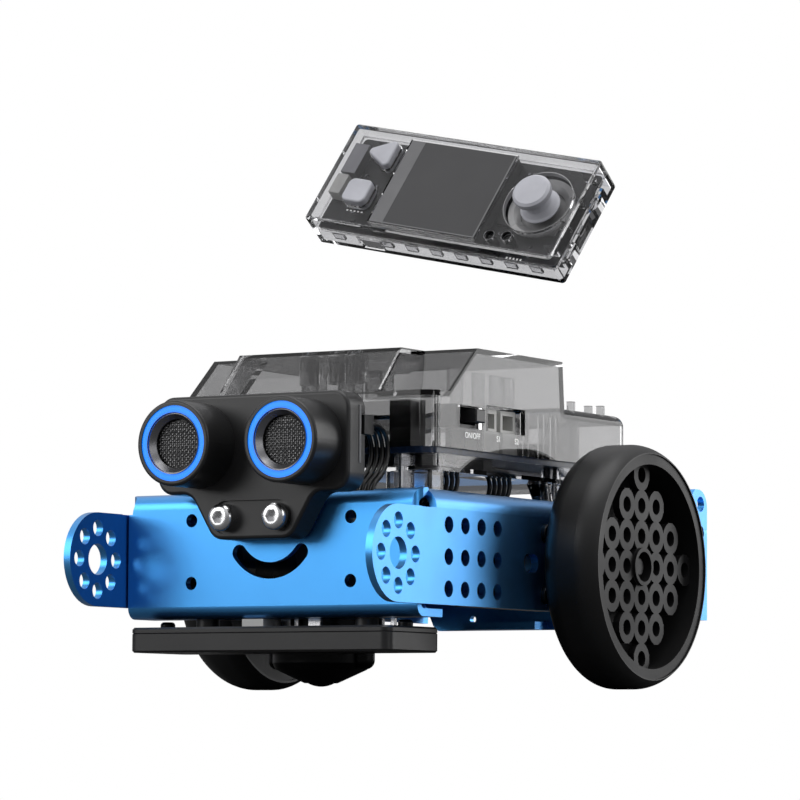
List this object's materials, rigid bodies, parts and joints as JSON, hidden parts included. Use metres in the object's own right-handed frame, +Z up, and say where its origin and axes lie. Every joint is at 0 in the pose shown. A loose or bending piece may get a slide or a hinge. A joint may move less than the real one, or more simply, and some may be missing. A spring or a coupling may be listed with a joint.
{
  "type": "two-wheel-drive robot car with hand controller",
  "caption": "Small folded-metal robot car with plain drive wheels, a ball caster, an ultrasonic sensor head, a clear electronics cover and a tilted hand controller.",
  "frame": {"origin": "centre of the footprint at floor level, under the middle of the whole object's box", "axes": "+Z up, the robot's front faces -Y, its left side is +X"},
  "size_m": [0.13, 0.175, 0.1546],
  "materials": {
    "chassis_blue": "satin blue anodised sheet",
    "black_plastic": "fine satin",
    "black_gloss": "gloss",
    "blue_ring": "translucent blue light ring",
    "silver": "satin metal",
    "mesh_metal": "fine wire mesh",
    "black_steel": "black oxide",
    "board_blue": "solder mask",
    "board_dark": "solder mask",
    "lens_clear": "clear",
    "white_plastic": "cable socket",
    "tyre_rubber": "plain",
    "rim_plastic": "moulded",
    "smoky_clear": "smoky clear plastic",
    "pad_clear": "clear plastic",
    "battery_foil": "foil pouch",
    "wire_black": "insulation",
    "button_grey": "lavender grey",
    "screen_dark": "dark glass",
    "module_grey": "can"
  },
  "bodies": {
    "chassis": {"chassis_plate": "chassis_blue", "sensor_front_shell": "black_plastic", "sensor_rear_shell": "black_plastic", "sensor_board": "board_dark", "sensor_light_rings": "blue_ring", "sensor_transducers": "silver", "sensor_meshes": "mesh_metal", "sensor_bolts": "silver", "sensor_nuts": "silver", "line_sensor_base": "black_plastic", "line_sensor_cover": "black_plastic", "line_sensor_board": "board_dark", "line_sensor_lenses": "lens_clear", "line_sensor_connector": "white_plastic", "line_sensor_screws": "black_steel", "line_sensor_spacers": "black_plastic", "line_sensor_case_screws": "black_steel", "caster_housing": "black_plastic", "caster_screws": "black_steel", "motor_gearboxes": "black_plastic", "motor_cans": "black_steel", "motor_encoders": "black_plastic", "motor_screws": "black_steel", "shell_cover": "smoky_clear", "shell_base": "smoky_clear", "main_board": "board_blue", "shell_screws": "silver", "battery_cell": "battery_foil", "speaker": "black_gloss", "switch_body": "black_plastic", "port_sockets": "white_plastic", "corner_connector": "black_plastic", "board_connectors": "silver", "cable_sockets": "black_plastic", "sensor_wires": "wire_black", "line_sensor_wires": "wire_black", "motor_wires": "wire_black"},
    "left_wheel": {"wheel_rim_left": "rim_plastic", "wheel_tyre_left": "tyre_rubber", "drive_shaft_left": "silver", "hub_screw_left": "black_steel"},
    "right_wheel": {"wheel_rim_right": "rim_plastic", "wheel_tyre_right": "tyre_rubber", "drive_shaft_right": "silver", "hub_screw_right": "black_steel"},
    "caster_ball": {"caster_ball": "black_gloss"},
    "switch_slider": {"switch_slider": "black_plastic"},
    "controller": {"pad_front_case": "pad_clear", "pad_back_case": "pad_clear", "pad_board": "board_dark", "pad_screen": "screen_dark", "pad_usb_socket": "silver", "pad_module": "module_grey", "pad_stick_base": "module_grey", "pad_key_switches": "black_plastic", "pad_light_sensors": "black_gloss"},
    "square_button": {"pad_button_square": "button_grey"},
    "triangle_button": {"pad_button_triangle": "button_grey"},
    "stick_gimbal": {"pad_stick_gimbal": "black_plastic"},
    "stick_cap": {"pad_stick_cap": "button_grey"}
  },
  "joints": [
    {"name": "left_wheel_spin", "type": "hinge", "parent": "chassis", "child": "left_wheel", "pos_m": [0.055, 0.0205, 0.032], "axis": [1, 0, 0], "continuous": true},
    {"name": "right_wheel_spin", "type": "hinge", "parent": "chassis", "child": "right_wheel", "pos_m": [-0.055, 0.0205, 0.032], "axis": [1, 0, 0], "continuous": true},
    {"name": "caster_ball_roll", "type": "hinge", "parent": "chassis", "child": "caster_ball", "pos_m": [0, -0.0382, 0.007], "axis": [1, 0, 0], "continuous": true},
    {"name": "power_switch", "type": "slide", "parent": "chassis", "child": "switch_slider", "axis": [0, 1, 0], "range_m": [-0.004, 0]},
    {"name": "controller_lift", "type": "hinge", "parent": "chassis", "child": "controller", "pos_m": [0.00951, -0.02007, 0.08595], "axis": [0.9794, 0.1581, -0.126], "range_deg": [-60, 0]},
    {"name": "square_key", "type": "slide", "parent": "controller", "child": "square_button", "axis": [-0.0752, 0.8581, -0.5079], "range_m": [0, 0.0008], "stiffness_N_per_m": 300, "springref_m": -0.001},
    {"name": "triangle_key", "type": "slide", "parent": "controller", "child": "triangle_button", "axis": [-0.0752, 0.8581, -0.5079], "range_m": [0, 0.0008], "stiffness_N_per_m": 300, "springref_m": -0.001},
    {"name": "stick_pitch", "type": "hinge", "parent": "controller", "child": "stick_gimbal", "pos_m": [0.03738, 0.00966, 0.12656], "axis": [0.9796, -0.0318, -0.1986], "range_deg": [-12, 12], "stiffness_Nm_per_rad": 0.03},
    {"name": "stick_roll", "type": "hinge", "parent": "stick_gimbal", "child": "stick_cap", "pos_m": [0.03738, 0.00966, 0.12656], "axis": [0.1866, 0.5125, 0.8382], "range_deg": [-12, 12], "stiffness_Nm_per_rad": 0.03}
  ]
}
